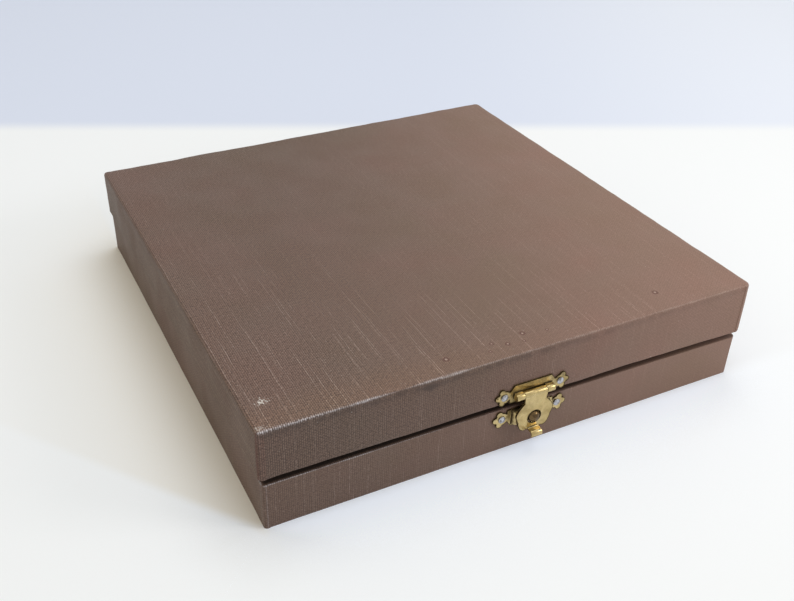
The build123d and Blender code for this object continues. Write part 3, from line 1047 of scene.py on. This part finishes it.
hinge_brass = metal_finish("hinge_brass", hinge_bright, hinge_dull, hinge_spot, hinge_shine)
for side in ("left", "right"):
    give(f"{side}_hinge_pin", hinge_brass)
    for half in ("base", "lid"):
        node = f"{side}_hinge_{half}_leaf"
        leaf = from_frame(node, f"{side}_{half}_leaf")
        close_piece()
        soften_edges(leaf, hinge_edge)
        give(leaf, hinge_brass)
        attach(leaf, half)
        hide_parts(node)


# Catch: a strike plate on the base and a catch plate on the lid, both stamped from thin
# brass with a pressed border, and a hasp that is rolled round the pin between two knuckles.
border_width = 0.00042
border_depth = 0.00013
faces_front = -0.995
front_play = 0.00005
back_from = 0.0003
back_tarnish = 0.55
plate_tarnish = 0.42
sheet_edge = 0.00014
sheet_edge_degrees = 50
plate_thickness = 0.0006
barrel_radius = 0.0013
barrel_sink = 0.0002
shield_widths = ((0.0060, 1.0), (0.0020, 1.10), (-0.0002, 1.03), (-0.0032, 0.89))
shield_kept = 0.0026
shield_shaped = 0.0045
brass_patch = 0.0035
brass_pit = 0.0006
brass_relief = 0.00002
brass_patches_seen = (0.38, 0.68)
brass_rough_patches = (0.35, 0.7)
tarnish_seen = (0.25, 0.95)
tarnish_in_pits = 0.6
tarnish_held_back = 0.3
tarnish_roughening = 0.3
brass_bright = (0.59, 0.46, 0.22, 1)
brass_dull = (0.42, 0.315, 0.138, 1)
# Dark of tarnish, and of the painted shade at the plates' edges.
brass_tarnish_and_shade = (0.060, 0.040, 0.020, 1)
brass_roughness = (0.26, 0.42)


def brass_finish():
    """Olive-gold brass: dull in patches, and dark at the edges, partly tarnish where polish
    never reaches and partly painted shade where the plates meet the cloth.
    """
    finish, shader = new_finish("catch_brass", Metallic=1.0)
    place = add(finish, "TexCoord").outputs["Object"]
    edge = add(finish, "Attribute", attribute_name="tarnish").outputs["Fac"]
    patches = cloudy(finish, place, brass_patch, 4.0, 0.6)
    pits = cloudy(finish, place, brass_pit, offset=4.0)
    dullness = fade(finish, patches, *brass_patches_seen)
    colour = blend_colours(finish, dullness, brass_bright, brass_dull)
    ragged = reckon(finish, "SUBTRACT", edge, tarnish_held_back)
    ragged = reckon(finish, "MULTIPLY_ADD", pits, tarnish_in_pits, ragged)
    darkness = fade(finish, ragged, *tarnish_seen)
    paint(finish, shader, "Base Color", blend_colours(finish, darkness, colour, brass_tarnish_and_shade))
    roughness = fade(finish, patches, *brass_rough_patches, *brass_roughness)
    roughness = reckon(finish, "MULTIPLY_ADD", darkness, tarnish_roughening, roughness)
    paint(finish, shader, "Roughness", roughness)
    relieve(finish, shader, pits, brass_relief)
    return finish


def press_border(piece, front, kept_bright=lambda point: False, inside=0.0):
    """Presses a fine border into the front face. What lies outside the border is marked as
    dark, part tarnish and part painted shade, the back as dull, and the face inside the
    border with the tarnish given for it."""

    def on_front(face):
        off_front = abs(middle(face).y - front(middle(face).z))
        return face.normal.y < faces_front and off_front < front_play

    choose("FACE", on_front)
    bpy.ops.mesh.inset(thickness=border_width, depth=-border_depth, use_even_offset=True)
    mesh = bmesh.from_edit_mesh(piece.data)
    inner = {point.index for face in mesh.faces if face.select for point in face.verts}
    close_piece()
    tarnish = piece.data.attributes.new("tarnish", "FLOAT", "POINT")
    for point in piece.data.vertices:
        behind = point.co.y - front(point.co.z)
        # Outside the border the edge is marked dark: tarnish, with painted shade where the plate
        # meets the cloth.
        amount = back_tarnish if behind > back_from else 1.0
        if point.index in inner:
            amount = inside
        if behind < -front_play or kept_bright(point.co):
            amount = 0.0
        tarnish.data[point.index].value = amount


base_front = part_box("strike_plate")[1].y
catch_brass = brass_finish()

strike_plate = from_frame("strike_plate", "strike_sheet")
press_border(strike_plate, lambda z: base_front - plate_thickness)
soften_edges(strike_plate, sheet_edge, sheet_edge_degrees)
give(strike_plate, catch_brass)
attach(strike_plate, "base")
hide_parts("strike_plate")


def lean(level_y):
    """The y of a plane that stood upright on the level lid, at a height z, now it is at rest."""
    at_foot = lid_at_rest @ Vector((0, level_y, lid_rim))
    return lambda z: at_foot.y + (z - at_foot.z) * math.tan(ajar)


catch_plate = from_frame("catch_plate", "catch_sheet")
press_border(catch_plate, lean(lid_front - plate_thickness), inside=plate_tarnish)
soften_edges(catch_plate, sheet_edge, sheet_edge_degrees)
give(catch_plate, catch_brass)
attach(catch_plate, "lid")
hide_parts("catch_plate")

hasp_front = lid_front - plate_thickness - 2 * barrel_radius + barrel_sink
pin_line = Vector(frame["joints"][1]["pos_m"])


def on_the_knuckle(place):
    """True on the hasp's barrel, which handling keeps bright."""
    return (place - pin_line).yz.length < barrel_radius + near


def width_at(height):
    """How much wider the hasp's shield is than the solid's, at a height above its hole."""
    above = shield_widths[0]
    for below in shield_widths[1:]:
        if height > below[0]:
            share = max((above[0] - height) / (above[0] - below[0]), 0)
            eased = share * share * (3 - 2 * share)
            return above[1] + (below[1] - above[1]) * eased
        above = below
    return above[1]


def shape_shield(piece, hole):
    """Draws the shield broad above its hole and narrow below, and leaves hole and lip alone."""
    for point in piece.data.vertices:
        aside = abs(point.co.x - hole.x)
        share = min(max((aside - shield_kept) / (shield_shaped - shield_kept), 0), 1)
        drawn = 1 + (width_at(point.co.z - hole.z) - 1) * share
        point.co.x = hole.x + (point.co.x - hole.x) * drawn


hasp = from_frame("hasp", "hasp_sheet")
close_piece()
stud_low, stud_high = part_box("strike_stud")
shape_shield(hasp, (stud_low + stud_high) / 2)
open_piece(hasp)
press_border(hasp, lean(hasp_front), on_the_knuckle)
soften_edges(hasp, sheet_edge, sheet_edge_degrees)
give(hasp, catch_brass)
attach(hasp, "hasp")
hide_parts("hasp")

give("catch_pin", catch_brass)

# Stud: a dark tarnished brass stud with a domed head, driven through the strike plate's
# boss. The hasp's hole drops over the head.
head_radius = 0.00225
head_height = 0.0021
head_rings = ((0.93, 0.35), (0.80, 0.68), (0.60, 0.88), (0.32, 0.98))
head_sides = 32
head_smooth_degrees = 60
shank_share = 0.4
stud_bright = (0.17, 0.11, 0.05, 1)
stud_dull = (0.07, 0.045, 0.025, 1)
stud_spot = 0.0012
stud_shine = 0.26

stud_middle = (stud_low + stud_high) / 2
stud_foot = stud_low.y + head_height
stud_brass = metal_finish("stud_brass", stud_bright, stud_dull, stud_spot, stud_shine)
stud = start_piece(
    "stud",
    bpy.ops.mesh.primitive_circle_add,
    vertices=head_sides,
    radius=head_radius,
    fill_type="NGON",
    location=(stud_middle.x, stud_foot, stud_middle.z),
    rotation=(math.pi / 2, 0, 0),
)
reached = Vector((1.0, 0.0))
choose("EDGE", lambda edge: edge.is_boundary)
for share, rise in head_rings:
    grow = share / reached.x
    step = (0, -(rise - reached.y) * head_height, 0)
    next_row(step, (grow, 1, grow), stud_middle)
    reached = Vector((share, rise))
bpy.ops.mesh.edge_face_add()
bpy.ops.mesh.poke(offset=head_height * (1 - reached.y))
choose("FACE", lambda face: abs(middle(face).y - stud_foot) < near)
bpy.ops.mesh.inset(thickness=head_radius * (1 - shank_share))
bpy.ops.mesh.extrude_region_move(TRANSFORM_OT_translate={"value": (0, stud_high.y - stud_foot, 0)})
face_outwards()
close_piece()
smooth_over(stud, head_smooth_degrees)
give(stud, stud_brass)
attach(stud, "base")
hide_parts("strike_stud")


# Lining: strips of card covered in ivory satin that has yellowed with age. They are glued
# inside the walls and set back from the rims.
satin_light = (0.72, 0.62, 0.46, 1)
satin_deep = (0.64, 0.53, 0.37, 1)
satin_patch = 0.03
satin_patches_seen = (0.35, 0.7)
satin_thread = 0.0005
satin_thread_way = (1, 0.08, 1)
satin_relief = 0.00004
satin_sheen = 0.35
satin_roughness = 0.42
lining_edge = 0.0003


def satin_finish():
    """Aged ivory satin: a soft sheen, fine threads and uneven yellowing."""
    sheen = {"Sheen_Weight": satin_sheen, "Sheen_Roughness": satin_sheen}
    finish, shader = new_finish("satin", Roughness=satin_roughness, **sheen)
    place = add(finish, "TexCoord").outputs["Object"]
    ages = cloudy(finish, place, satin_patch, detail=3.0)
    threads = cloudy(finish, stretched(finish, place, satin_thread_way), satin_thread, 1.0)
    yellowed = fade(finish, ages, *satin_patches_seen)
    colour = blend_colours(finish, yellowed, satin_light, satin_deep)
    paint(finish, shader, "Base Color", colour)
    relieve(finish, shader, threads, satin_relief, strength=0.6)
    return finish


satin = satin_finish()
for half in ("base", "lid"):
    for side in ("front", "back", "left", "right"):
        node = f"{half}_{side}_lining"
        strip = from_frame(node, f"{half}_{side}_satin")
        close_piece()
        soften_edges(strip, lining_edge)
        give(strip, satin)
        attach(strip, half)
        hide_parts(node)


# Cards and paper: pasteboard behind both padded panels, and a sheet of brown paper under
# the bottom board, glued over the turned-under cloth.
card_grey = (0.34, 0.29, 0.23, 1)
card_fibre = (0.24, 0.20, 0.15, 1)
paper_brown = (0.110, 0.074, 0.053, 1)
paper_worn = (0.140, 0.098, 0.072, 1)
card_patch = 0.002
paper_patch = 0.0022
paper_roughness = 0.85
paper_relief = 0.00003
pulp_seen = (0.4, 0.65)


def paper_finish(name, first, second, patch):
    """Rough paper or board, in two tones of its pulp."""
    finish, shader = new_finish(name, Roughness=paper_roughness)
    place = add(finish, "TexCoord").outputs["Object"]
    fibres = cloudy(finish, place, patch, detail=5.0, roughness=0.7)
    colour = blend_colours(finish, fade(finish, fibres, *pulp_seen), first, second)
    paint(finish, shader, "Base Color", colour)
    relieve(finish, shader, fibres, paper_relief)
    return finish


give("underside_sheet", paper_finish("brown_paper", paper_brown, paper_worn, paper_patch))
pasteboard = paper_finish("pasteboard", card_grey, card_fibre, card_patch)
give("base_floor_card", pasteboard)
give("lid_panel_card", pasteboard)


# Padded panels: wadding on card under satin, glued to the floor and under the lid. The
# satin is drawn over the wadding, so it is full in the middle and puckers along its edge.
pad_meshes = 96
pad_foot = 0.0004
pad_corner = 0.0035
pad_slack = 0.006
pad_pressure = 1.6
pad_frames = 18
pad_headroom = 0.00015
pad_fullness = 0.29
pad_smooth_degrees = 60
lid_pad_under_top = 0.0045
lid_pad_inset = 0.0063
satin_stretch = 25
satin_shear = 10
satin_bend = 0.4
satin_mass = 0.2
satin_quality = 6


def stuff(piece, rim):
    """Blows the satin up over its wadding while its rim is held, and keeps the shape."""
    held = piece.vertex_groups.new(name="held")
    held.add(rim, 1.0, "REPLACE")
    cloth = piece.modifiers.new("stuffing", "CLOTH")
    cloth.settings.quality = satin_quality
    cloth.settings.mass = satin_mass
    cloth.settings.tension_stiffness = satin_stretch
    cloth.settings.compression_stiffness = satin_stretch
    cloth.settings.shear_stiffness = satin_shear
    cloth.settings.bending_stiffness = satin_bend
    cloth.settings.use_pressure = True
    cloth.settings.uniform_pressure_force = pad_pressure
    cloth.settings.shrink_min = -pad_slack
    cloth.settings.vertex_group_mass = "held"
    cloth.settings.effector_weights.gravity = 0
    cloth.point_cache.frame_end = pad_frames
    for step in range(1, pad_frames + 1):
        bpy.context.scene.frame_set(step)
    bpy.context.view_layer.objects.active = piece
    bpy.ops.object.modifier_apply(modifier="stuffing")
    bpy.context.scene.frame_set(1)
    piece.vertex_groups.clear()


pad_low, pad_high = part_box("base_floor_pad")
pad_middle = (pad_low + pad_high) / 2
pad_half = (pad_high - pad_low) / 2
sheet_half = Vector((pad_half.x - pad_foot, pad_half.y - pad_foot, 1))
pad_floor = pad_low.z + pad_foot
base_pad = start_piece(
    "base_pad",
    bpy.ops.mesh.primitive_grid_add,
    x_subdivisions=pad_meshes,
    y_subdivisions=pad_meshes,
    size=2,
)
choose("VERT", lambda point: True)
bpy.ops.transform.resize(value=sheet_half)
bpy.ops.transform.translate(value=(pad_middle.x, pad_middle.y, pad_floor))
close_piece()


def round_the_corners(piece, middle_of_pad, half, radius):
    """Draws the square corners of a flat sheet in to a radius."""
    for point in piece.data.vertices:
        past = Vector((abs(point.co.x - middle_of_pad.x), abs(point.co.y - middle_of_pad.y)))
        past -= Vector((half.x - radius, half.y - radius))
        if past.x > 0 and past.y > 0:
            drawn = past * (max(past) / past.length)
            point.co.x += math.copysign(drawn.x - past.x, point.co.x - middle_of_pad.x)
            point.co.y += math.copysign(drawn.y - past.y, point.co.y - middle_of_pad.y)


round_the_corners(base_pad, pad_middle, pad_half, pad_corner)
edge_reach = (pad_meshes - 0.5) / pad_meshes
rim = [
    point.index
    for point in base_pad.data.vertices
    if abs(point.co.x - pad_middle.x) > sheet_half.x * edge_reach
    or abs(point.co.y - pad_middle.y) > sheet_half.y * edge_reach
]
stuff(base_pad, rim)
rise = max(point.co.z for point in base_pad.data.vertices) - pad_low.z
room = pad_high.z - pad_low.z - pad_headroom - pad_foot
for point in base_pad.data.vertices:
    lift = max(point.co.z - pad_floor, 0) / max(rise, pad_foot)
    point.co.z = pad_floor + room * (1 - math.exp(-lift / pad_fullness))
    point.co.x = min(max(point.co.x, pad_low.x + near), pad_high.x - near)
    point.co.y = min(max(point.co.y, pad_low.y + near), pad_high.y - near)
open_piece(base_pad)
choose("EDGE", lambda edge: edge.is_boundary)
next_row((0, 0, -pad_foot))
bpy.ops.mesh.edge_face_add()
face_outwards()
close_piece()
smooth_over(base_pad, pad_smooth_degrees)
give(base_pad, satin)

# The lid's panel is a second one of the same make, turned over and a little wider. It is
# glued up under the lid's board on a card of its own.
bpy.ops.object.select_all(action="DESELECT")
lid_pad = base_pad.copy()
lid_pad.data = base_pad.data.copy()
lid_pad.name = "lid_pad"
lid_pad.data.name = "lid_pad"
bpy.context.scene.collection.objects.link(lid_pad)
open_piece(lid_pad)
bpy.ops.mesh.select_all(action="SELECT")
bpy.ops.transform.rotate(value=math.pi, orient_axis="X", center_override=pad_middle)
wider = (lid_half_x - lid_pad_inset) / pad_half.x
deeper = (lid_half_y - lid_pad_inset) / pad_half.y
bpy.ops.transform.resize(value=(wider, deeper, 1), center_override=pad_middle)
up_to_the_lid = lid_top - lid_pad_under_top - pad_high.z
bpy.ops.transform.translate(value=(-pad_middle.x, -pad_middle.y, up_to_the_lid))
close_piece()
lid_pad.data.transform(lid_at_rest)
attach(base_pad, "base")
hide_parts("base_floor_pad")
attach(lid_pad, "lid")
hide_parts("lid_panel_pad")


# Studio: a plain pale floor that turns a little bluer far behind the box, a large soft lamp
# over it, a small one at the right front, a soft sky, and the camera at the photograph's angle.
image_width = 794
image_height = 601
focal_pixels = 964.72
picture_centre = (365.47, 290.01)
sensor_millimetres = 36
camera_place = (-0.15116, -0.28070, 0.21501)
camera_turn = (56.758, -0.640, -25.793)
nearest_seen = 0.01
floor_size = 14.0
floor_white = (0.84, 0.86, 0.885, 1)
floor_roughness = 0.55
floor_gloss = 0.25
far_blue = (0.64, 0.69, 0.82, 1)
far_pale = (0.75, 0.79, 0.885, 1)
far_place = (0.0798, 0.152, 0)
far_way = (0.413, 0.911, 0)
far_blur = (-0.006, 0.010)
left_way = (-0.90, 0.435, 0)
paler_to_the_left = (0.0, -0.30)
sky_cool = (0.97, 0.985, 1.0, 1)
sky_warm = (0.87, 0.77, 0.56, 1)
sky_strength = 0.75
sky_warms = (-0.2, 0.8)
warm_shade = (1.0, 0.92, 0.79, 1)
fill_colour = (0.80, 0.95, 1.20, 1)
shade_reach = 0.08
shade_samples = 4
shade_slope = 1.3
shade_blur = 0.004
shade_seen = (0.12, 0.42)


def one_less(finish, value):
    """What is left of 1."""
    return reckon(finish, "SUBTRACT", 1.0, value)


def seen(finish):
    """1 for what the camera sees, straight or in gloss or glass, and 0 for what lights."""
    rays = add(finish, "LightPath").outputs
    in_gloss = reckon(finish, "MAXIMUM", rays["Is Camera Ray"], rays["Is Glossy Ray"])
    return reckon(finish, "MAXIMUM", in_gloss, rays["Is Transmission Ray"])


bpy.ops.object.select_all(action="DESELECT")
bpy.ops.mesh.primitive_plane_add(size=floor_size)
floor = bpy.context.object
floor.name = "studio_floor"
finish, shader = new_finish("studio_floor", Roughness=floor_roughness)
shader.inputs["Specular IOR Level"].default_value = floor_gloss
place = add(finish, "TexCoord").outputs["Object"]
place_x, place_y = add(finish, "SeparateXYZ", {0: place}).outputs[:2]
from_far_line = add(finish, "VectorMath", {0: place, 1: far_place}, operation="SUBTRACT")
far = fade(finish, reach_along(finish, from_far_line.outputs[0], far_way), *far_blur)
far_colour = fade(finish, reach_along(finish, place, left_way), *paler_to_the_left)
far_colour = blend_colours(finish, far_colour, far_blue, far_pale)
floor_colour = blend_colours(finish, far, floor_white, far_colour)

# The lamp at the right front leaves a warm shade to the left of a line from the near corner.
# On its other side the camera, gloss and glass see a pale blue fill where the box shades the
# floor, which lights nothing else.
near_box = add(finish, "AmbientOcclusion", {"Distance": shade_reach}, samples=shade_samples)
near_box = one_less(finish, near_box.outputs["AO"])
past_left = reckon(finish, "SUBTRACT", cad_low.x, place_x)
past_front = reckon(finish, "SUBTRACT", base_low.y, place_y)
out_left = reckon(finish, "MAXIMUM", past_left, 0)
past_shade = reckon(finish, "MULTIPLY_ADD", out_left, shade_slope, past_front)
lit = fade(finish, past_shade, -shade_blur, shade_blur)
warm = product(
    finish,
    fade(finish, near_box, *shade_seen),
    fade(finish, past_left, -shade_blur, 0.0),
    one_less(finish, lit),
)
floor_colour = tinted(finish, warm, floor_colour, warm_shade)
paint(finish, shader, "Base Color", floor_colour)

fill = product(finish, near_box, near_box, seen(finish), lit)
shader.inputs["Emission Color"].default_value = fill_colour
paint(finish, shader, "Emission Strength", fill)
give(floor, finish)

# The sky lights the box a little warmer from the left, and is cool and even where it is seen.
world = bpy.data.worlds.new("studio_sky")
world.use_nodes = True
bpy.context.scene.world = world
sky = world.node_tree.nodes["Background"]
sky.inputs["Strength"].default_value = sky_strength
way = add(world, "TexCoord").outputs["Generated"]
warmth = fade(world, reach_along(world, way, left_way), *sky_warms)
warmth = product(world, warmth, one_less(world, seen(world)))
sky_colour = blend_colours(world, warmth, sky_cool, sky_warm)
world.node_tree.links.new(sky_colour, sky.inputs["Color"])


def soft_lamp(name, place, aim, size, power, colour):
    """A large square lamp that points at a place."""
    lamp = bpy.data.lights.new(name, "AREA")
    lamp.shape = "SQUARE"
    lamp.size = size
    lamp.energy = power
    lamp.color = colour
    holder = bpy.data.objects.new(name, lamp)
    bpy.context.scene.collection.objects.link(holder)
    holder.location = place
    holder.rotation_euler = (Vector(aim) - Vector(place)).to_track_quat("-Z", "Y").to_euler()


soft_lamp(
    "ceiling_lamp",
    place=(0.22, 0.14, 1.20),
    aim=(0, 0, 0),
    size=0.9,
    power=6.0,
    colour=(0.96, 0.985, 1.0),
)
soft_lamp(
    "window_lamp",
    place=(0.50, -0.42, 0.36),
    aim=(0.06, -0.06, 0.02),
    size=0.22,
    power=1.0,
    colour=(1.0, 0.96, 0.93),
)

camera = bpy.data.cameras.new("camera")
camera.sensor_width = sensor_millimetres
camera.lens = focal_pixels * sensor_millimetres / image_width
camera.shift_x = (image_width / 2 - picture_centre[0]) / image_width
camera.shift_y = (picture_centre[1] - image_height / 2) / image_width
camera.clip_start = nearest_seen
camera_holder = bpy.data.objects.new("camera", camera)
bpy.context.scene.collection.objects.link(camera_holder)
camera_holder.location = camera_place
camera_holder.rotation_euler = [math.radians(angle) for angle in camera_turn]
bpy.context.scene.camera = camera_holder
bpy.context.scene.view_settings.view_transform = "Standard"
